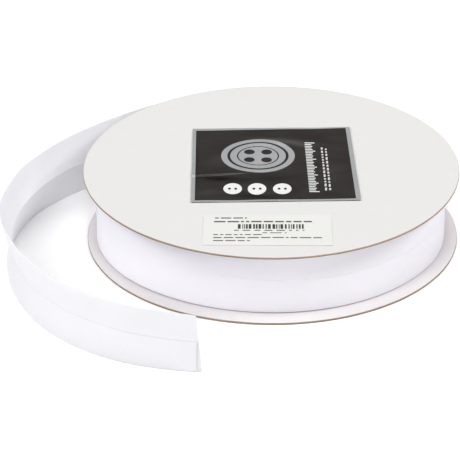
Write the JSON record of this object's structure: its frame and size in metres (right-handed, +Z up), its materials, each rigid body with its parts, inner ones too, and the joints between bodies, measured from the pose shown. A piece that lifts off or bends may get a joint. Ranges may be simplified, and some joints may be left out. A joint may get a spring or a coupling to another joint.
{
  "type": "roll of bias tape",
  "caption": "Flat reel of folded cotton bias tape wound between card discs, with its loose end curved round one side and labels on top.",
  "frame": {"origin": "on the reel's axis, at the underside of the bottom disc", "axes": "+Z up along the reel's axis; the loose end leaves the winding at +Y, goes round -X and ends at -Y"},
  "size_m": [0.1314, 0.1388, 0.0224],
  "materials": {
    "card_top": "smooth white-faced card with a brown cut edge",
    "card_bottom": "smooth white-faced card with a brown cut edge",
    "cotton_wound": "matte plain-weave white cotton, wound",
    "cotton_tail": "matte plain-weave white cotton, folded and pressed",
    "black_foil": "glossy black label paper with a silver border",
    "cream_paper": "matte cream sticker with small dark print"
  },
  "bodies": {
    "root": {"flange_top": "card_top", "flange_bottom": "card_bottom", "wound_tape": "cotton_wound", "tape_tail": "cotton_tail", "label_main": "black_foil", "label_info": "cream_paper"}
  },
  "joints": []
}
